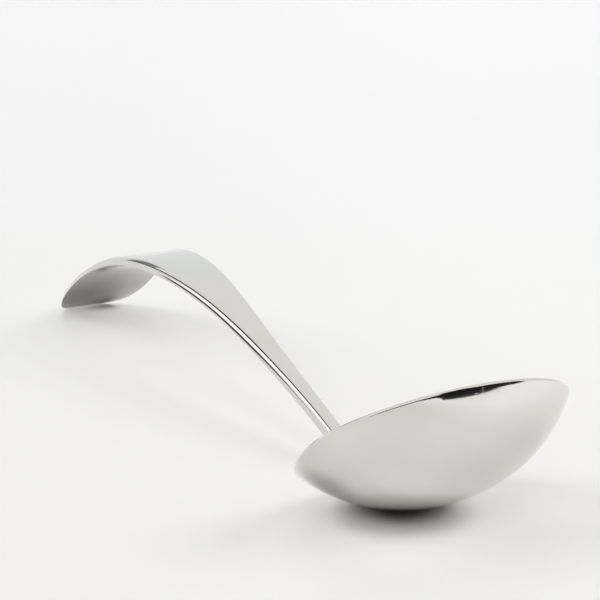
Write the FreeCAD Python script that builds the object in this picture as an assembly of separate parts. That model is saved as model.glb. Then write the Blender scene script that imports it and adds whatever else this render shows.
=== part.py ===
import FreeCAD, Part
import math
import os
from FreeCAD import Vector

# A gravy ladle: one piece of polished steel, a round bowl with a long arched handle.
# It stands as on a table, on the underside of its bowl and on the end of its handle.
# Millimetres. X runs along the ladle towards the bowl's lip, Y across it, Z up.
# The origin is on the table, in the middle of the ladle's outer size.

# Bowl, measured level in its own frame: outside sizes before its edge is bevelled,
# cut from an egg-shaped ball
BOWL_LENGTH = 53.6
BOWL_WIDTH = 58.4
BOWL_DEPTH = 15.4
BALL_ABOVE_RIM = 20.0
WIDEST_AHEAD = 4.5
WALL = 1.7
RIM_BEVEL = 0.4
BOWL_TILT = 38.0

# Handle, the root: it runs on inside the bowl's wall and leaves it under the rim
ROOT_REACH = 5.0
ROOT_WIDTH = 7.0
ROOT_SHARE = 0.85
JOINT_DROP = 0.1
JOINT_WIDTH = 4.8
JOINT_THICKNESS = 2.2

# Handle, station by station: run from the station before, height of the metal's middle
# above the table, full width and thickness
NECK_RUN = 16.0
NECK_HEIGHT = 5.8
NECK_WIDTH = 3.4
NECK_THICKNESS = 3.2
STEM_RUN = 30.0
STEM_HEIGHT = 15.6
STEM_WIDTH = 5.6
STEM_THICKNESS = 2.6
RISE_RUN = 25.0
RISE_HEIGHT = 22.1
RISE_WIDTH = 9.8
RISE_THICKNESS = 2.2
CREST_RUN = 21.0
CREST_HEIGHT = 24.3
CREST_WIDTH = 14.4
SHOULDER_RUN = 21.0
SHOULDER_HEIGHT = 21.6
SHOULDER_WIDTH = 18.8
PAD_RUN = 17.0
PAD_HEIGHT = 13.9
PAD_WIDTH = 22.4
PAD_THICKNESS = 2.0
END_RUN = 24.0
END_FULLNESS = 0.72
TURN_RUN = 13.0
TURN_HEIGHT = 4.9
FOOT_BEFORE_END = 4.0
FOOT_LIFT = 0.3
EDGE_BEVEL = 0.45

# Spare length of the blanks that are cut to the finished outline, what counts as touching,
# and the most that a bevel takes of the metal's thickness
SPARE = 3.0
TOUCH = 0.0001
MOST_BEVEL = 0.32

# The foot is looked for in the last part of the handle's length, in a few steps
FOOT_SHARE = 0.8
SETTLING_STEPS = 5

NODE = "ladle"

TILT = math.radians(BOWL_TILT)
HALF_LENGTH = BOWL_LENGTH / 2
BALL_HEIGHT = BOWL_DEPTH + BALL_ABOVE_RIM
RIM_SHARE = math.sqrt(1 - (BALL_ABOVE_RIM / BALL_HEIGHT) ** 2)
BALL_FRONT = (HALF_LENGTH - WIDEST_AHEAD) / RIM_SHARE
BALL_BACK = (HALF_LENGTH + WIDEST_AHEAD) / RIM_SHARE
BALL_SIDE = BOWL_WIDTH / 2 / RIM_SHARE
BLOCK = 4 * BALL_HEIGHT


def lean(reach):
    """How far a tilted ball reaches down from its middle, for its reach along the bowl."""
    return math.hypot(reach * math.sin(TILT), BALL_HEIGHT * math.cos(TILT))


def standing_height():
    """Height of the rim's middle above the table when the bowl stands on its underside."""
    ball_middle = WIDEST_AHEAD * math.sin(TILT) + BALL_ABOVE_RIM * math.cos(TILT)
    return lean(BALL_BACK) - ball_middle


def lip_reach():
    """How far the bowl's front reaches ahead of the rim's back edge."""
    ball_middle = (HALF_LENGTH + WIDEST_AHEAD) * math.cos(TILT) - BALL_ABOVE_RIM * math.sin(TILT)
    return ball_middle + math.hypot(BALL_FRONT * math.cos(TILT), BALL_HEIGHT * math.sin(TILT))


def in_place(along, up):
    """A point of the bowl's own frame, in the middle plane, as it stands on the table."""
    x = (HALF_LENGTH + along) * math.cos(TILT) - up * math.sin(TILT)
    z = standing_height() + along * math.sin(TILT) + up * math.cos(TILT)
    return Vector(x, 0, z)


def in_wall(behind_lip_line, inset):
    """A point of the bowl's back wall, a given depth into the metal, in the bowl's frame."""
    sine = (behind_lip_line + WIDEST_AHEAD) / (BALL_BACK - inset)
    up = BALL_ABOVE_RIM - (BALL_HEIGHT - inset) * math.sqrt(1 - sine ** 2)
    return in_place(-behind_lip_line, up)


def half_ball(reach, inset, forward):
    """Half of the egg-shaped ball, its poles at the sides and its seam on top."""
    ball = Part.makeSphere(1.0)
    ball.rotate(Vector(0, 0, 0), Vector(1, 0, 0), 90)
    ball.rotate(Vector(0, 0, 0), Vector(0, 1, 0), -90)
    keep = Part.makeBox(BLOCK, BLOCK, BLOCK, Vector(0 if forward else -BLOCK, -BLOCK / 2, -BLOCK / 2))
    half = ball.common(keep)
    stretch = FreeCAD.Matrix()
    stretch.scale(reach - inset, BALL_SIDE - inset, BALL_HEIGHT - inset)
    return half.transformGeometry(stretch)


def egg_ball(inset):
    """The whole ball in the bowl's frame, a given depth inside the bowl's outer skin."""
    ball = half_ball(BALL_FRONT, inset, True).fuse(half_ball(BALL_BACK, inset, False))
    ball.translate(Vector(WIDEST_AHEAD, 0, BALL_ABOVE_RIM))
    return ball


def lies_on_rim(edge):
    """True for an edge of the level rim face that the bowl is cut off at."""
    box = edge.BoundBox
    return max(abs(box.ZMin), abs(box.ZMax)) < TOUCH and box.YLength > BOWL_WIDTH / 2


def bowl():
    """The bowl as it stands: the ball's outer skin below the rim, hollowed, its rim bevelled."""
    below_rim = Part.makeBox(BLOCK, BLOCK, BLOCK, Vector(-BLOCK / 2, -BLOCK / 2, -BLOCK))
    shell = egg_ball(0).common(below_rim).cut(egg_ball(WALL))
    rim = [edge for edge in shell.Edges if lies_on_rim(edge)]
    shell = shell.makeChamfer(min(RIM_BEVEL, WALL * MOST_BEVEL), rim)
    shell.rotate(Vector(0, 0, 0), Vector(0, 1, 0), -BOWL_TILT)
    shell.translate(in_place(0, 0))
    return shell


def stations():
    """The handle from its root to its widest place: place behind the rim, height, width, thickness."""
    root = in_wall(HALF_LENGTH - ROOT_REACH, WALL / 2)
    rim_edge = in_place(-HALF_LENGTH, 0)
    rows = [
        (-root.x, root.z, ROOT_WIDTH, WALL * ROOT_SHARE),
        (0, rim_edge.z - JOINT_DROP, JOINT_WIDTH, JOINT_THICKNESS),
    ]
    place = 0
    for run, height, width, thickness in (
        (NECK_RUN, NECK_HEIGHT, NECK_WIDTH, NECK_THICKNESS),
        (STEM_RUN, STEM_HEIGHT, STEM_WIDTH, STEM_THICKNESS),
        (RISE_RUN, RISE_HEIGHT, RISE_WIDTH, RISE_THICKNESS),
        (CREST_RUN, CREST_HEIGHT, CREST_WIDTH, PAD_THICKNESS),
        (SHOULDER_RUN, SHOULDER_HEIGHT, SHOULDER_WIDTH, PAD_THICKNESS),
        (PAD_RUN, PAD_HEIGHT, PAD_WIDTH, PAD_THICKNESS),
    ):
        place += run
        rows.append((place, height, width, thickness))
    return rows


def end_place():
    """How far the end of the handle lies behind the rim."""
    return stations()[-1][0] + END_RUN


def lines_above(foot_height):
    """The handle's top and bottom lines in the middle plane, for one height of its foot."""
    rows = [(place, height, thickness) for place, height, _, thickness in stations()]
    rows.append((rows[-1][0] + TURN_RUN, TURN_HEIGHT, PAD_THICKNESS))
    rows.append((end_place() - FOOT_BEFORE_END, foot_height, PAD_THICKNESS))
    rows.append((end_place() + SPARE, foot_height + FOOT_LIFT, PAD_THICKNESS))
    middle = Part.BSplineCurve()
    middle.interpolate([Vector(-place, 0, height) for place, height, _ in rows])
    lines = []
    for side in (1, -1):
        points = []
        for place, height, thickness in rows:
            point = Vector(-place, 0, height)
            along = middle.tangent(middle.parameter(point))[0]
            points.append(point + Vector(along.z, 0, -along.x) * (side * thickness / 2))
        line = Part.BSplineCurve()
        line.interpolate(points)
        lines.append(line)
    return lines


def side_lines():
    """The handle's top and bottom lines, its foot raised until it only touches the table."""
    foot_height = PAD_THICKNESS / 2
    for _ in range(SETTLING_STEPS):
        top, bottom = lines_above(foot_height)
        foot_part = bottom.toShape(bottom.LastParameter * FOOT_SHARE, bottom.LastParameter)
        foot_height -= foot_part.optimalBoundingBox(False, False).ZMin
    return top, bottom


def bent_strip():
    """The handle's metal seen from the side, wider than the finished outline."""
    top, bottom = (line.toShape() for line in side_lines())
    root = Part.makeLine(bottom.Vertexes[0].Point, top.Vertexes[0].Point)
    past = Part.makeLine(top.Vertexes[-1].Point, bottom.Vertexes[-1].Point)
    face = Part.Face(Part.Wire(Part.__sortEdges__([top, past, bottom, root])))
    width = max(width for _, _, width, _ in stations()) + 2 * SPARE
    face.translate(Vector(0, -width / 2, 0))
    return face.extrude(Vector(0, width, 0))


def outline():
    """The handle seen from above, as one smooth curve round its end."""
    rows = [(place, width / 2) for place, _, width, _ in stations()]
    pad, half_pad = rows[-1]
    quarter = (pad + END_RUN * END_FULLNESS, half_pad * END_FULLNESS)
    right = [Vector(-place, half, 0) for place, half in rows + [quarter]]
    left = [Vector(point.x, -point.y, 0) for point in reversed(right)]
    curve = Part.BSplineCurve()
    curve.interpolate(right + [Vector(-end_place(), 0, 0)] + left)
    edge = curve.toShape()
    closing = Part.makeLine(left[-1], right[0])
    face = Part.Face(Part.Wire([edge, closing]))
    highest = max(height for _, height, _, _ in stations())
    face.translate(Vector(0, 0, -SPARE))
    return face.extrude(Vector(0, 0, highest + 2 * SPARE))


def handle():
    """The bent strip cut to its outline, its long edges bevelled."""
    blank = bent_strip().common(outline())
    long_edges = [edge for edge in blank.Edges if edge.BoundBox.XLength > NECK_RUN]
    return blank.makeChamfer(min(EDGE_BEVEL, WALL * ROOT_SHARE * MOST_BEVEL), long_edges)


def ladle():
    """Bowl and handle as one solid, standing on the table about the origin."""
    whole = bowl().fuse(handle())
    whole.translate(Vector((end_place() - lip_reach()) / 2, 0, 0))
    return whole


def main():
    os.makedirs("parts", exist_ok=True)
    shape = ladle()
    shape.exportStep(os.path.join("parts", NODE + ".step"))
    print(NODE, "solids", len(shape.Solids), "valid", shape.isValid(), "volume", round(shape.Volume, 1))


main()
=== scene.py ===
import math

import bmesh
import bpy
import numpy as np
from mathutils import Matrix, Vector
from mathutils.kdtree import KDTree


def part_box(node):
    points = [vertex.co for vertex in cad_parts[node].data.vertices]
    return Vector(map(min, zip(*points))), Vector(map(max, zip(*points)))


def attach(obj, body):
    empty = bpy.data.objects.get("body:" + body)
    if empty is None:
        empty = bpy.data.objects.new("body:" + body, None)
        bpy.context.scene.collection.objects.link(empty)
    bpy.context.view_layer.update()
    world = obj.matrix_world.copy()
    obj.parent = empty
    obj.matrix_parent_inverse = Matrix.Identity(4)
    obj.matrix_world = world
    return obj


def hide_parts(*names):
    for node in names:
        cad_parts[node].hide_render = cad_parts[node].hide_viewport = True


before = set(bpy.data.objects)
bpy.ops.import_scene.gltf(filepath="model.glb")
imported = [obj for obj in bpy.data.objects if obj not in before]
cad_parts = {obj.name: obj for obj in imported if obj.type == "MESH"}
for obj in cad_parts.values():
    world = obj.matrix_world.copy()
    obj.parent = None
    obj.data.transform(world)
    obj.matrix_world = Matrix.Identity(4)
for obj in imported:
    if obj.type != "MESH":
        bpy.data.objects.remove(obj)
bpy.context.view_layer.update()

# The photograph's view: 600 x 600 pixels, a 150 mm lens on a 36 mm sensor. Metres.
CAMERA_PLACE = Vector((0.48007, -0.24220, 0.17945))
CAMERA_TARGET = Vector((0.02311, 0.0, 0.03152))
CAMERA_LENS = 150.0
CAMERA_SENSOR = 36.0

# The bowl, measured level in its own frame, its length and width before the rim is rounded.
# The rounding takes more than the bevel of its solid does, so it starts a little wider.
BOWL_LENGTH = 0.0536
BOWL_WIDTH = 0.0588
BOWL_DEPTH = 0.0154
BALL_ABOVE_RIM = 0.020
WIDEST_AHEAD = 0.0045
WALL = 0.0017
BOWL_TILT = math.radians(38.0)
RIM_ROUND = 0.0005

# The handle: its root in the bowl's wall, where it leaves the wall, and then station by
# station the place behind the rim, the height of the metal's middle, the width and thickness.
# From neck to grip it is up to 0.4 mm higher and up to 0.4 mm wider on each side than its
# solid, as the photograph shows it.
ROOT_REACH = 0.005
ROOT_WIDTH = 0.007
ROOT_THICKNESS = 0.001445
JOINT_DROP = 0.0001
JOINT_WIDTH = 0.0048
JOINT_THICKNESS = 0.0022
HANDLE_STATIONS = (
    (0.016, 0.00585, 0.0038, 0.0032),
    (0.046, 0.01585, 0.0061, 0.0026),
    (0.071, 0.02245, 0.0104, 0.0022),
    (0.092, 0.0247, 0.0152, 0.0020),
    (0.113, 0.0220, 0.0194, 0.0020),
    (0.130, 0.0139, 0.0224, 0.0020),
)
HANDLE_END = 0.154
TURN = (0.143, 0.0049)
END_THICKNESS = 0.0020
FOOT_BEFORE_END = 0.004
FOOT_LIFT = 0.0003
PAST_END = 0.003
END_FULLNESS = 0.72
FOOT_SHARE = 0.8
SETTLING_STEPS = 5

# The rounds of the handle's upper and lower edges: the most that each reaches inward and the
# most that it takes of the thickness, and for both the most that they take of the half width.
# Where the metal is thicker than at its end, its faces are crowned by a share of the excess.
TOP_ROUND = 0.0018
TOP_SHARE = 0.72
BOTTOM_ROUND = 0.0004
BOTTOM_SHARE = 0.2
MOST_ACROSS = 0.55
CROWN_SHARE = 0.28

# How finely the mesh is divided, the step that gives a line's direction, and the distance at
# which points count as one
BOWL_COLUMNS = 224
WALL_ROWS = 56
ROUND_STEPS = 7
EDGE_STEPS = 12
HANDLE_ROWS = 320
FACE_STRIPS = 8
LINE_SAMPLES = 4000
SMALL_STEP = 1e-5
MERGE_DISTANCE = 1e-7

# The joint of bowl and handle is worked smooth: what counts as a crease, how far from it, in
# how many rounds, and how far each moves a point
CREASE_ANGLE = math.radians(20.0)
BLEND_REACH = 0.0016
BLEND_ROUNDS = 12
BLEND_STEP = 0.5

HALF_LENGTH = BOWL_LENGTH / 2
BALL_HEIGHT = BOWL_DEPTH + BALL_ABOVE_RIM
RIM_SHARE = math.sqrt(1 - (BALL_ABOVE_RIM / BALL_HEIGHT) ** 2)
BALL_FRONT = (HALF_LENGTH - WIDEST_AHEAD) / RIM_SHARE
BALL_BACK = (HALF_LENGTH + WIDEST_AHEAD) / RIM_SHARE
BALL_SIDE = BOWL_WIDTH / 2 / RIM_SHARE

# The room: what camera and steel see of it, low down and high up, and the light it gives.
# Every fade goes from its first value to its second.
WHITE = (1.0, 1.0, 1.0, 1.0)
ROOM_LOW = (0.83, 0.868, 0.88, 1.0)
ROOM_HIGH = (0.885, 0.896, 0.875, 1.0)
ROOM_FADE = (0.35, 0.65)
WORLD_STRENGTH = 0.04

# Soft lights about the table: bearing round the ladle and height in degrees, strength
SOFTBOX_WIDTH = math.radians(40.0)
SOFTBOXES = {
    "camera_side": (332.0, 60.0, 0.32),
    "camera_low": (332.0, 42.0, 0.42),
    "lip_side": (2.0, 62.0, 0.36),
    "left": (242.0, 35.0, 1.28),
    "right": (62.0, 35.0, 1.40),
    "behind_high": (152.0, 60.0, 0.33),
    "behind_low": (152.0, 35.0, 0.44),
}

# The steel: its colour, and how haze, hairlines and scuffs change it
STEEL_COLOUR = (0.77, 0.745, 0.715, 1.0)
TARNISH_COLOUR = (0.66, 0.62, 0.58, 1.0)
HAZE_TARNISH = 0.3
SCUFF_TARNISH = 0.3
ROUGHNESS = 0.055
NOISE_ROUGHNESS = 0.55
HAZE_SCALE = 70.0
HAZE_DETAIL = 4.0
HAZE_FADE = (0.42, 0.68)
HAZE_ROUGHNESS = 0.045
GRAIN_SCALE = 900.0
GRAIN_DETAIL = 2.0
HAIRLINES = (
    ((0.3, 0.2, 0.5), 260.0),
    ((-0.4, 0.1, -0.7), 182.0),
)
HAIRLINE_STRETCH = (0.06, 1.0, 6.0)
HAIRLINE_DETAIL = 1.0
HAIRLINE_FADE = (0.68, 0.74)
HAIRLINE_ROUGHNESS = 0.05
SCUFF_HEIGHT = (0.0003, 0.0016)
SCUFF_GRAIN = (0.45, 0.62)
SCUFF_ROUGHNESS = 0.20
BUMP_STRENGTH = 0.05
BUMP_DISTANCE = 0.0002
HAZE_RELIEF = 0.6
HAIRLINE_RELIEF = 0.4

# The underside of the grip is duller, and darker by painted shade: how far it faces down, where
# it lies, and how much of this is lost higher up and towards the far side
UNDER_SHADE_COLOUR = (0.205, 0.198, 0.182, 1.0)
UNDER_ROUGHNESS = 0.12
UNDER_FACING = (0.1, 0.5)
UNDER_LENGTH = (-0.072, -0.050)
UNDER_HEIGHT = (0.006, 0.018)
UNDER_HEIGHT_LOSS = 0.5
UNDER_ASIDE = (-0.004, 0.008)
UNDER_ASIDE_LOSS = 0.4

# Cards that only the steel mirrors, upright on a low edge that need not be level: the low
# edge's two ends, the height of the top edge, brightness
CARD_DARK = 0.015
CARD_DIM = 0.07
CARD_GREY = 0.25
CARD_BRIGHT = 1.3
CARDS = {
    "rim_start": ((0.335, 0.000, 0.020), (0.335, 0.018, 0.003), 0.45, CARD_DARK),
    "rim_near": ((0.335, 0.018, 0.003), (0.335, 0.131, 0.003), 0.45, CARD_DARK),
    "rim_gap": ((0.336, 0.125, 0.006), (0.336, 0.270, 0.006), 0.10, CARD_GREY),
    "rim_middle": ((0.335, 0.134, 0.003), (0.335, 0.256, 0.003), 0.20, CARD_DARK),
    "rim_far": ((0.335, 0.260, 0.0), (0.335, 0.400, 0.0), 0.20, CARD_DARK),
    "rim_line": ((0.340, -0.300, 0.020), (0.340, 0.002, 0.020), 0.16, CARD_DARK),
    "edge_low": ((-0.155, -0.120, 0.0), (-0.085, -0.120, 0.0), 0.055, CARD_DIM),
    "edge_window": ((-0.155, -0.120, 0.058), (-0.030, -0.120, 0.058), 0.16, CARD_BRIGHT),
    "edge_high": ((-0.500, -0.120, 0.165), (-0.060, -0.120, 0.165), 0.28, CARD_DARK),
    "edge_behind": ((-0.500, -0.120, 0.19), (-0.500, 0.100, 0.23), 0.35, CARD_GREY),
}

# The floor: paler far off and on the right and darker near the camera, a painted falloff of light, and
# a little yellower near the camera.
# The fades count from the origin away from the camera, to the right as it sees it, and the
# one of the near floor towards it.
FLOOR_SIZE = 6.0
AWAY = (CAMERA_TARGET - CAMERA_PLACE).xy.normalized()
RIGHT = Vector((AWAY.y, -AWAY.x))
FLOOR_GREY = 0.909
FLOOR_FAR = 0.035
FAR_FADE = (0.0, 0.60)
FLOOR_RIGHT = 0.030
RIGHT_FADE = (-0.08, 0.08)
RIGHT_AWAY_FADE = (-0.08, 0.05)
FLOOR_NEAR = -0.050
NEAR_FADE = (0.12, 0.22)
NEAR_TINT = (1.0, 0.993, 0.968, 1.0)
TINT_FADE = (-0.10, 0.25)

# The floor has a painted glow that lightens its shadows, less close round the places where the
# ladle stands, and a painted contact shadow where the bowl touches it
PAINTED_GLOW = 0.45
PAINTED_GLOW_LEVEL = (0.97, 0.97, 0.97, 1.0)
BOWL_SHADE = (0.0735, -0.004)
BOWL_SHADE_FADE = (0.009, 0.0185)
FOOT_SHADE = (-0.0925, 0.005)
FOOT_SHADE_FADE = (-0.0012, 0.005)
FOOT_SHADE_LENGTH = 0.5
CONTACT_SHADOW = (0.0705, -0.0015)
CONTACT_SHADOW_FADE = (0.003, 0.012)
CONTACT_SHADOW_DARK = 0.60

# Only as the steel mirrors it, the floor glows more beside the view on the right, and is
# darker beside the bowl on the camera's side
SIDE_LEVEL = (1.39, 1.46, 1.56, 1.0)
SIDE_FADE = (0.075, 0.18)
SIDE_AWAY_FADE = (0.08, 0.35)
MIRRORED_DIM = (0.067, -0.020)
MIRRORED_DIM_FADE = (0.001, 0.013)
MIRRORED_DIM_SHARE = 0.42


class Nodes:
    """A node tree that is built by calls: one for each node."""

    def __init__(self, owner):
        owner.use_nodes = True
        self.tree = owner.node_tree
        self.tree.nodes.clear()

    def add(self, kind, settings=None, **values):
        """Adds a node: first its settings, then its inputs, each a value or a link."""
        node = self.tree.nodes.new(kind)
        for name, setting in (settings or {}).items():
            setattr(node, name, setting)
        for name, value in values.items():
            self.feed(find_input(node, name), value)
        return node

    def feed(self, socket, value):
        """Sets an input to a plain value, or links it to a wrapped output."""
        if isinstance(value, Number):
            value = value.socket
        if isinstance(value, bpy.types.NodeSocket):
            self.tree.links.new(value, socket)
        else:
            socket.default_value = value

    def number(self, kind, output, settings=None, **values):
        """Adds a node and gives one of its outputs, ready for arithmetic."""
        return Number(self, self.add(kind, settings, **values).outputs[output])

    def math(self, operation, *operands):
        """Adds a Math node."""
        node = self.add("ShaderNodeMath", {"operation": operation})
        for socket, value in zip(node.inputs, operands):
            self.feed(socket, value)
        return Number(self, node.outputs[0])


def find_input(node, name):
    """An input by its name in lower case, with _ for a space, or by its place after 'at_'."""
    if name.startswith("at_"):
        return node.inputs[int(name[3:])]
    for socket in node.inputs:
        if socket.name.lower().replace(" ", "_") == name and socket.enabled:
            return socket
    raise KeyError(f"{node.bl_idname} has no input {name}")


class Number:
    """A shader output that takes part in sums: each operator adds a Math node."""

    def __init__(self, nodes, socket):
        self.nodes = nodes
        self.socket = socket

    def __add__(self, other):
        return self.nodes.math("ADD", self, other)

    def __radd__(self, other):
        return self.nodes.math("ADD", other, self)

    def __sub__(self, other):
        return self.nodes.math("SUBTRACT", self, other)

    def __rsub__(self, other):
        return self.nodes.math("SUBTRACT", other, self)

    def __mul__(self, other):
        return self.nodes.math("MULTIPLY", self, other)

    def __pow__(self, other):
        return self.nodes.math("POWER", self, other)


def fade(nodes, value, span):
    """Goes smoothly from 0 to 1 while the value goes over a span."""
    settings = {"interpolation_type": "SMOOTHSTEP"}
    low, high = span
    return nodes.number("ShaderNodeMapRange", 0, settings, value=value, from_min=low, from_max=high)


def blend(nodes, share, first, second):
    """Two colours blended by a share of the second; the node takes them at places 6 and 7."""
    mix = nodes.add("ShaderNodeMix", {"data_type": "RGBA"}, at_0=share, at_6=first, at_7=second)
    return mix.outputs[2]


def noise(nodes, place, scale, detail):
    """A cloudy pattern about 0.5, its scale in waves a metre."""
    settings = dict(vector=place, scale=scale, detail=detail, roughness=NOISE_ROUGHNESS)
    return nodes.number("ShaderNodeTexNoise", 0, **settings)


def rim_back():
    """Where the rim's back edge lies along the row."""
    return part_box("ladle")[0].x + HANDLE_END


def bowl_to_row(along, across, up):
    """Turns places in the bowl's level frame into places in the row frame."""
    reach = math.hypot(BALL_BACK * math.sin(BOWL_TILT), BALL_HEIGHT * math.cos(BOWL_TILT))
    rim_height = reach - WIDEST_AHEAD * math.sin(BOWL_TILT) - BALL_ABOVE_RIM * math.cos(BOWL_TILT)
    x = rim_back() + (HALF_LENGTH + along) * math.cos(BOWL_TILT) - up * math.sin(BOWL_TILT)
    z = rim_height + along * math.sin(BOWL_TILT) + up * math.cos(BOWL_TILT)
    return np.stack(np.broadcast_arrays(x, across, z), axis=-1)


def wall_profile():
    """The wall of a round bowl, from its middle outside over the rounded rim to its middle inside."""
    outer, inner = BALL_HEIGHT, BALL_HEIGHT - WALL
    drop = BALL_ABOVE_RIM + RIM_ROUND
    out_lean = math.acos(drop / (outer - RIM_ROUND))
    in_lean = math.acos(drop / (inner + RIM_ROUND))
    walls = []
    for radius, lean in ((outer, out_lean), (inner, in_lean)):
        leans = np.linspace(0.0, lean, WALL_ROWS)
        reaches, heights = radius * np.sin(leans), BALL_ABOVE_RIM - radius * np.cos(leans)
        walls.append(np.stack((reaches, heights), axis=1))
    rounds = []
    for reach, first, last in (
        (outer - RIM_ROUND, out_lean - math.pi / 2, math.pi / 2),
        (inner + RIM_ROUND, math.pi / 2, math.pi / 2 + in_lean),
    ):
        centre = np.array((math.sqrt(reach ** 2 - drop ** 2), -RIM_ROUND))
        turns = np.linspace(first, last, 2 * ROUND_STEPS)
        rounds.append(centre + RIM_ROUND * np.stack((np.cos(turns), np.sin(turns)), axis=1))
    return np.concatenate((walls[0][:-1], rounds[0], rounds[1], walls[1][-2::-1]))


def bowl_mesh():
    """The bowl: the round wall stretched to an egg shape, column by column."""
    reach, height = wall_profile().T
    lean = np.arctan2(reach, BALL_ABOVE_RIM - height)
    depth = BALL_HEIGHT - np.hypot(reach, BALL_ABOVE_RIM - height)
    columns = []
    for turn in np.arange(BOWL_COLUMNS) * 2 * math.pi / BOWL_COLUMNS:
        forward, sideways = math.cos(turn), math.sin(turn)
        ball_reach = BALL_FRONT if forward > 0 else BALL_BACK
        along = WIDEST_AHEAD + (ball_reach - depth) * np.sin(lean) * forward
        across = (BALL_SIDE - depth) * np.sin(lean) * sideways
        up = BALL_ABOVE_RIM - (BALL_HEIGHT - depth) * np.cos(lean)
        columns.append(bowl_to_row(along, across, up))
    return loft("bowl", np.array(columns), closed_columns=False)


def loft(name, rows, closed_columns):
    """A closed mesh over rows of points: the rows join in a ring, or each row is a ring itself."""
    count, length = rows.shape[:2]
    bm = bmesh.new()
    grid = [[bm.verts.new(point) for point in row] for row in rows]
    if closed_columns:
        for one, other in zip(grid, grid[1:]):
            for i in range(length):
                bm.faces.new((one[i - 1], one[i], other[i], other[i - 1]))
        bm.faces.new(grid[0])
    else:
        for k in range(count):
            one, other = grid[k - 1], grid[k]
            for i in range(1, length):
                bm.faces.new((one[i - 1], one[i], other[i], other[i - 1]))
    bmesh.ops.remove_doubles(bm, verts=bm.verts, dist=MERGE_DISTANCE)
    bmesh.ops.dissolve_degenerate(bm, edges=bm.edges, dist=MERGE_DISTANCE)
    bmesh.ops.recalc_face_normals(bm, faces=bm.faces)
    mesh = bpy.data.meshes.new(name)
    bm.to_mesh(mesh)
    bm.free()
    return mesh


class SmoothLine:
    """A cubic curve through given points, each stretch as long as its chord."""

    def __init__(self, points):
        self.points = np.array(points, float)
        self.steps = np.linalg.norm(np.diff(self.points, axis=0), axis=1)
        self.knots = np.concatenate(([0.0], np.cumsum(self.steps)))
        self.bends = self.solve_bends()

    def solve_bends(self):
        """The second derivative at each point, with one cubic over the two stretches at each end."""
        count = len(self.points)
        system = np.zeros((count, count))
        wanted = np.zeros_like(self.points)
        slopes = np.diff(self.points, axis=0) / self.steps[:, None]
        for i in range(1, count - 1):
            before, after = self.steps[i - 1], self.steps[i]
            system[i, i - 1:i + 2] = before, 2 * (before + after), after
            wanted[i] = 6 * (slopes[i] - slopes[i - 1])
        system[0, :3] = self.steps[1], -self.steps[0] - self.steps[1], self.steps[0]
        system[-1, -3:] = self.steps[-1], -self.steps[-1] - self.steps[-2], self.steps[-2]
        return np.linalg.solve(system, wanted)

    def at(self, lengths):
        """The curve's points at given lengths along its chords."""
        lengths = np.atleast_1d(lengths)
        i = np.clip(np.searchsorted(self.knots, lengths, side="right") - 1, 0, len(self.steps) - 1)
        step = self.steps[i][:, None]
        near = (self.knots[i + 1] - lengths)[:, None]
        far = (lengths - self.knots[i])[:, None]
        start, end = self.points[i], self.points[i + 1]
        bend_start, bend_end = self.bends[i], self.bends[i + 1]
        cubic = (bend_start * near ** 3 + bend_end * far ** 3) / (6 * step)
        from_start = (start / step - bend_start * step / 6) * near
        from_end = (end / step - bend_end * step / 6) * far
        return cubic + from_start + from_end

    def samples(self, first, last, count):
        """Closely spaced points between two lengths."""
        return self.at(np.linspace(first, last, count))

    def directions(self):
        """Unit directions at the curve's own points."""
        ahead = self.at(np.minimum(self.knots + SMALL_STEP, self.knots[-1]))
        behind = self.at(np.maximum(self.knots - SMALL_STEP, 0.0))
        along = ahead - behind
        return along / np.linalg.norm(along, axis=1)[:, None]


def root_place():
    """Where the handle's root lies in the bowl's back wall: place behind the rim, and height."""
    behind_lip = HALF_LENGTH - ROOT_REACH
    sine = (behind_lip + WIDEST_AHEAD) / (BALL_BACK - WALL / 2)
    up = BALL_ABOVE_RIM - (BALL_HEIGHT - WALL / 2) * math.sqrt(1 - sine ** 2)
    x, _, z = bowl_to_row(-behind_lip, 0.0, up)
    return rim_back() - x, z


def handle_stations():
    """The handle's rows from its root to its widest place."""
    place, height = root_place()
    rim_edge = bowl_to_row(-HALF_LENGTH, 0.0, 0.0)
    root = (place, height, ROOT_WIDTH, ROOT_THICKNESS)
    joint = (0.0, rim_edge[2] - JOINT_DROP, JOINT_WIDTH, JOINT_THICKNESS)
    return (root, joint) + HANDLE_STATIONS


def lines_above(foot_height):
    """The handle's top and bottom lines in the middle plane, for one height of its foot."""
    rows = [(place, height, thickness) for place, height, _, thickness in handle_stations()]
    rows.append((*TURN, END_THICKNESS))
    rows.append((HANDLE_END - FOOT_BEFORE_END, foot_height, END_THICKNESS))
    rows.append((HANDLE_END + PAST_END, foot_height + FOOT_LIFT, END_THICKNESS))
    places, heights, thicknesses = np.array(rows).T
    middle = SmoothLine(np.stack((-places, heights), axis=1))
    along = middle.directions()
    normals = np.stack((along[:, 1], -along[:, 0]), axis=1)
    half = (thicknesses / 2)[:, None]
    return SmoothLine(middle.points + normals * half), SmoothLine(middle.points - normals * half)


def side_lines():
    """The heights of the handle's top and bottom over its length, its foot just touching the table."""
    foot_height = END_THICKNESS / 2
    for _ in range(SETTLING_STEPS):
        lines = lines_above(foot_height)
        top, bottom = (line.samples(0.0, line.knots[-1], LINE_SAMPLES) for line in lines)
        foot = bottom[:, 0] < -HANDLE_END * FOOT_SHARE
        foot_height -= bottom[foot, 1].min()
    return top[::-1], bottom[::-1]


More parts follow.
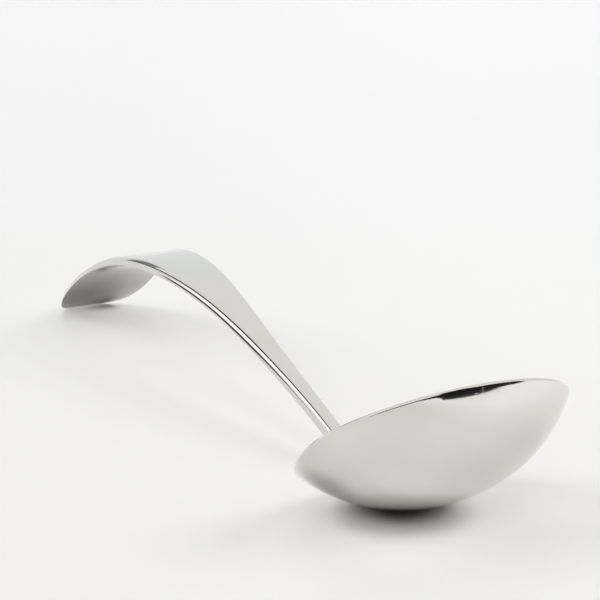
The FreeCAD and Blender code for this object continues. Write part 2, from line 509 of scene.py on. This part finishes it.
def plan_outline():
    """One side of the handle seen from above, root to tip, in even steps."""
    rows = [(-place, width / 2) for place, _, width, _ in handle_stations()]
    x, half_pad = rows[-1]
    reach = HANDLE_END + x
    rows.append((x - reach * END_FULLNESS, half_pad * END_FULLNESS))
    right = rows + [(-HANDLE_END, 0.0)]
    line = SmoothLine(right + [(x, -y) for x, y in reversed(rows)])
    fine = line.samples(0.0, line.knots[len(right) - 1], LINE_SAMPLES)
    lengths = np.concatenate(([0.0], np.cumsum(np.linalg.norm(np.diff(fine, axis=0), axis=1))))
    even = np.linspace(0.0, lengths[-1], HANDLE_ROWS + 1)
    return np.stack([np.interp(even, lengths, fine[:, axis]) for axis in (0, 1)], axis=1)


def handle_half(outline, inward, thickness, line, upward, most, share):
    """The rounded edge and the face of the handle's top or underside, as lines from root to tip."""
    reach = np.abs(outline[:, 1])
    reach[np.argmax(reach):] = reach.max()
    crown = CROWN_SHARE * (thickness - END_THICKNESS).clip(0.0)
    across = np.minimum(most, MOST_ACROSS * reach)
    down = np.minimum(across, share * thickness)

    def at_height(place, fall):
        """Places on the plan at their height, a given fall below the line in the middle."""
        fall = fall + crown * (place[:, 1] / reach) ** 2
        return np.column_stack((place, np.interp(place[:, 0], *line.T) - upward * fall))

    edge = []
    for turn in np.linspace(math.pi / 2, 0.0, EDGE_STEPS):
        place = outline + inward * (across * (1 - math.cos(turn)))[:, None]
        edge.append(at_height(place, down * (1 - math.sin(turn))))
    flat = outline + inward * across[:, None]
    strips = np.linspace(-1.0, 1.0, FACE_STRIPS + 1)[1:-1]
    face = [at_height(flat * (1.0, strip), 0.0) for strip in strips]
    return edge, face


def handle_mesh():
    """The handle as rings of points from root to tip, all its long edges rounded."""
    outline = plan_outline()
    along = np.gradient(outline, axis=0)
    along /= np.linalg.norm(along, axis=1)[:, None]
    inward = np.stack((-along[:, 1], along[:, 0]), axis=1)
    inward[-1] = (1.0, 0.0)
    top, bottom = side_lines()
    thickness = np.interp(outline[:, 0], *top.T) - np.interp(outline[:, 0], *bottom.T)
    plan = (outline, inward, thickness)
    top_edge, top_face = handle_half(*plan, top, 1.0, TOP_ROUND, TOP_SHARE)
    bottom_edge, bottom_face = handle_half(*plan, bottom, -1.0, BOTTOM_ROUND, BOTTOM_SHARE)
    mirror = np.array((1.0, -1.0, 1.0))
    loop = top_face + top_edge + bottom_edge[::-1] + bottom_face[::-1]
    loop += [points * mirror for points in bottom_edge]
    loop += [points * mirror for points in top_edge[::-1]]
    rings = np.stack(loop, axis=1)
    rings[:, :, 0] += rim_back()
    return loft("handle", rings, closed_columns=True)


def join_bowl_and_handle():
    """Bowl and handle as one piece of metal, the crease between them worked smooth."""
    bowl = bpy.data.objects.new("ladle_steel", bowl_mesh())
    handle = bpy.data.objects.new("handle_blank", handle_mesh())
    for piece in (bowl, handle):
        bpy.context.scene.collection.objects.link(piece)
    union = bowl.modifiers.new("union", "BOOLEAN")
    union.operation = "UNION"
    union.solver = "EXACT"
    union.object = handle
    depsgraph = bpy.context.evaluated_depsgraph_get()
    joined = bpy.data.meshes.new_from_object(bowl.evaluated_get(depsgraph))
    bowl.modifiers.clear()
    bowl.data = joined
    bpy.data.objects.remove(handle)
    smooth_crease(joined)
    return bowl


def smooth_crease(mesh):
    """Works the crease between bowl and handle into a small hollow, and shades the metal smooth."""
    bm = bmesh.new()
    bm.from_mesh(mesh)
    bmesh.ops.triangulate(bm, faces=[face for face in bm.faces if len(face.verts) > 4])
    crease = [
        vert.co.copy()
        for edge in bm.edges
        if edge.is_manifold and abs(edge.calc_face_angle()) > CREASE_ANGLE
        for vert in edge.verts
    ]
    places = KDTree(len(crease))
    for i, place in enumerate(crease):
        places.insert(place, i)
    places.balance()
    near = [vert for vert in bm.verts if crease and places.find(vert.co)[2] < BLEND_REACH]
    axes = dict(use_axis_x=True, use_axis_y=True, use_axis_z=True)
    for _ in range(BLEND_ROUNDS):
        bmesh.ops.smooth_vert(bm, verts=near, factor=BLEND_STEP, **axes)
    for face in bm.faces:
        face.smooth = True
    bm.to_mesh(mesh)
    bm.free()


def scratches(nodes, place):
    """Sparse fine hairlines in two directions of the metal."""
    layers = []
    for turn, scale in HAIRLINES:
        turned = nodes.add("ShaderNodeMapping", vector=place, rotation=turn, scale=HAIRLINE_STRETCH)
        lines = noise(nodes, turned.outputs[0], scale, HAIRLINE_DETAIL)
        layers.append(fade(nodes, lines, HAIRLINE_FADE))
    return nodes.math("MAXIMUM", *layers)


def dull_shaded_underside(nodes, length, aside, height):
    """How much a place belongs to the grip's dull underside with its painted shade, from 0 to 1."""
    normal = nodes.add("ShaderNodeNewGeometry").outputs["Normal"]
    facing = Number(nodes, nodes.add("ShaderNodeSeparateXYZ", at_0=normal).outputs[2])
    under = fade(nodes, 0.0 - facing, UNDER_FACING) * (1.0 - fade(nodes, length, UNDER_LENGTH))
    under = under * (1.0 - fade(nodes, height, UNDER_HEIGHT) * UNDER_HEIGHT_LOSS)
    return under * (1.0 - fade(nodes, aside, UNDER_ASIDE) * UNDER_ASIDE_LOSS)


def polished_steel():
    """Mirror-polished stainless steel: polishing haze, hairlines, scuffs where it stands, painted
    shade under the grip.
    """
    material = bpy.data.materials.new("polished_steel")
    nodes = Nodes(material)
    place = nodes.add("ShaderNodeTexCoord").outputs["Object"]
    split = nodes.add("ShaderNodeSeparateXYZ", at_0=place)
    length, aside, height = (Number(nodes, split.outputs[axis]) for axis in range(3))
    haze = noise(nodes, place, HAZE_SCALE, HAZE_DETAIL)
    grain = noise(nodes, place, GRAIN_SCALE, GRAIN_DETAIL)
    hairlines = scratches(nodes, place)
    scuffs = (1.0 - fade(nodes, height, SCUFF_HEIGHT)) * fade(nodes, grain, SCUFF_GRAIN)
    under = dull_shaded_underside(nodes, length, aside, height)
    tarnish = haze * HAZE_TARNISH + scuffs * SCUFF_TARNISH
    polished = blend(nodes, tarnish, STEEL_COLOUR, TARNISH_COLOUR)
    roughness = (
        ROUGHNESS
        + fade(nodes, haze, HAZE_FADE) * HAZE_ROUGHNESS
        + hairlines * HAIRLINE_ROUGHNESS
        + scuffs * SCUFF_ROUGHNESS
        + under * UNDER_ROUGHNESS
    )
    relief = haze * HAZE_RELIEF - hairlines * HAIRLINE_RELIEF
    bump = nodes.add("ShaderNodeBump", strength=BUMP_STRENGTH, distance=BUMP_DISTANCE, height=relief)
    # The base colour takes painted shade on the grip's underside.
    shader = nodes.add(
        "ShaderNodeBsdfPrincipled",
        base_color=blend(nodes, under, polished, UNDER_SHADE_COLOUR),
        metallic=1.0,
        roughness=roughness,
        normal=bump.outputs[0],
    )
    nodes.add("ShaderNodeOutputMaterial", surface=shader.outputs[0])
    return material


def distance_from(nodes, x, y, middle, aside_share=1.0):
    """Distance on the floor from a place, where steps aside may count for less."""
    along, aside = x - middle[0], (y - middle[1]) * aside_share
    return (along * along + aside * aside) ** 0.5


def reach_along(direction, x, y):
    """How far a place on the floor lies in a direction from the origin."""
    return x * direction.x + y * direction.y


def floor_colour_and_shade(nodes, x, y, mirrored):
    """The paper's colour over the floor, with a painted falloff of light, a painted contact shadow and
    a darker painted reflection.
    """
    away = reach_along(AWAY, x, y)
    right = reach_along(RIGHT, x, y)
    grey = (
        FLOOR_GREY
        + fade(nodes, away, FAR_FADE) * FLOOR_FAR
        + fade(nodes, right, RIGHT_FADE) * fade(nodes, away, RIGHT_AWAY_FADE) * FLOOR_RIGHT
        + fade(nodes, 0.0 - away, NEAR_FADE) * FLOOR_NEAR
    )
    # painted contact shadow where the bowl touches the floor
    contact_shadow = 1.0 - fade(nodes, distance_from(nodes, x, y, CONTACT_SHADOW), CONTACT_SHADOW_FADE)
    dim = 1.0 - fade(nodes, distance_from(nodes, x, y, MIRRORED_DIM), MIRRORED_DIM_FADE)
    grey = grey * (1.0 - contact_shadow * CONTACT_SHADOW_DARK) * (1.0 - mirrored * dim * MIRRORED_DIM_SHARE)
    tint = blend(nodes, fade(nodes, away, TINT_FADE), NEAR_TINT, WHITE)
    return nodes.add("ShaderNodeVectorMath", {"operation": "SCALE"}, at_0=tint, at_3=grey).outputs[0]


def painted_floor_glow(nodes, x, y, mirrored, colour):
    """Painted glow that lightens the paper's shadows, with a painted reflection brighter beside the
    view in mirrored rays.
    """
    away = reach_along(AWAY, x, y)
    right = reach_along(RIGHT, x, y)
    beside = mirrored * fade(nodes, right, SIDE_FADE) * (1.0 - fade(nodes, away, SIDE_AWAY_FADE))
    level = blend(nodes, beside, PAINTED_GLOW_LEVEL, SIDE_LEVEL)
    light = nodes.add("ShaderNodeVectorMath", {"operation": "MULTIPLY"}, at_0=colour, at_1=level)
    return nodes.add("ShaderNodeEmission", color=light.outputs[0], strength=1.0)


def floor_paper():
    """White paper, lit from above, with a painted glow that lightens its shadows."""
    material = bpy.data.materials.new("floor_paper")
    nodes = Nodes(material)
    place = nodes.add("ShaderNodeTexCoord").outputs["Object"]
    split = nodes.add("ShaderNodeSeparateXYZ", at_0=place)
    x, y = Number(nodes, split.outputs[0]), Number(nodes, split.outputs[1])
    mirrored = nodes.number("ShaderNodeLightPath", "Is Glossy Ray")
    colour = floor_colour_and_shade(nodes, x, y, mirrored)
    lit = nodes.add("ShaderNodeBsdfDiffuse", color=colour)
    # painted glow that lightens the floor's shadows
    below = painted_floor_glow(nodes, x, y, mirrored, colour)
    bowl_shade = distance_from(nodes, x, y, BOWL_SHADE)
    foot_shade = distance_from(nodes, x, y, FOOT_SHADE, FOOT_SHADE_LENGTH)
    # the painted glow's share, faded out as painted shade close round where bowl and foot stand
    glow = fade(nodes, bowl_shade, BOWL_SHADE_FADE) * fade(nodes, foot_shade, FOOT_SHADE_FADE) * PAINTED_GLOW
    both = nodes.add("ShaderNodeMixShader", at_0=glow, at_1=lit.outputs[0], at_2=below.outputs[0])
    nodes.add("ShaderNodeOutputMaterial", surface=both.outputs[0])
    return material


def make_floor():
    """The pale table top, which keeps the ladle's shadow."""
    mesh = bpy.data.meshes.new("floor")
    half = FLOOR_SIZE / 2
    corners = [(-half, -half, 0), (half, -half, 0), (half, half, 0), (-half, half, 0)]
    mesh.from_pydata(corners, [], [(0, 1, 2, 3)])
    mesh.materials.append(floor_paper())
    floor = bpy.data.objects.new("floor", mesh)
    bpy.context.scene.collection.objects.link(floor)


def make_world():
    """Faint white light from all round; camera and steel see a room that is bluer low down."""
    world = bpy.data.worlds.new("studio")
    bpy.context.scene.world = world
    nodes = Nodes(world)
    light = nodes.add("ShaderNodeBackground", color=WHITE, strength=WORLD_STRENGTH)
    direction = nodes.add("ShaderNodeTexCoord").outputs["Generated"]
    lift = nodes.number("ShaderNodeSeparateXYZ", 2, at_0=direction)
    room = blend(nodes, fade(nodes, lift, ROOM_FADE), ROOM_LOW, ROOM_HIGH)
    backdrop = nodes.add("ShaderNodeBackground", color=room, strength=1.0)
    path = nodes.add("ShaderNodeLightPath")
    seen = nodes.math("MAXIMUM", path.outputs["Is Camera Ray"], path.outputs["Is Glossy Ray"])
    both = nodes.add("ShaderNodeMixShader", at_0=seen, at_1=light.outputs[0], at_2=backdrop.outputs[0])
    nodes.add("ShaderNodeOutputWorld", surface=both.outputs[0])


def make_softboxes():
    """Wide soft lights round the table; the steel doesn't mirror them."""
    for name, (bearing, height, strength) in SOFTBOXES.items():
        data = bpy.data.lights.new(name, "SUN")
        data.energy = strength
        data.angle = SOFTBOX_WIDTH
        softbox = bpy.data.objects.new(name, data)
        bpy.context.scene.collection.objects.link(softbox)
        turn, lift = math.radians(bearing), math.radians(height)
        level = math.cos(lift)
        place = Vector((math.cos(turn) * level, math.sin(turn) * level, math.sin(lift)))
        softbox.rotation_mode = "QUATERNION"
        softbox.rotation_quaternion = (-place).to_track_quat("-Z", "Y")
        softbox.visible_glossy = False


def make_cards():
    """Dark and bright cards round the table, as the steel mirrors them."""
    for name, (start, end, top, brightness) in CARDS.items():
        mesh = bpy.data.meshes.new("card_" + name)
        corners = [start, end, (*end[:2], top), (*start[:2], top)]
        mesh.from_pydata(corners, [], [(0, 1, 2, 3)])
        material = bpy.data.materials.new("card_" + name)
        nodes = Nodes(material)
        grey = (brightness, brightness, brightness, 1.0)
        glow = nodes.add("ShaderNodeEmission", color=grey, strength=1.0)
        nodes.add("ShaderNodeOutputMaterial", surface=glow.outputs[0])
        mesh.materials.append(material)
        card = bpy.data.objects.new("card_" + name, mesh)
        bpy.context.scene.collection.objects.link(card)
        for kind in ("camera", "diffuse", "shadow", "transmission", "volume_scatter"):
            setattr(card, "visible_" + kind, False)


def make_camera():
    """The camera at the photograph's place."""
    data = bpy.data.cameras.new("camera")
    data.lens = CAMERA_LENS
    data.sensor_width = CAMERA_SENSOR
    camera = bpy.data.objects.new("camera", data)
    bpy.context.scene.collection.objects.link(camera)
    camera.location = CAMERA_PLACE
    camera.rotation_mode = "QUATERNION"
    camera.rotation_quaternion = (CAMERA_TARGET - CAMERA_PLACE).to_track_quat("-Z", "Y")
    bpy.context.scene.camera = camera


def main():
    bpy.context.scene.view_settings.view_transform = "Standard"
    ladle = join_bowl_and_handle()
    ladle.data.materials.clear()
    ladle.data.materials.append(polished_steel())
    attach(ladle, "root")
    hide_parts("ladle")
    make_floor()
    make_world()
    make_softboxes()
    make_cards()
    make_camera()


main()
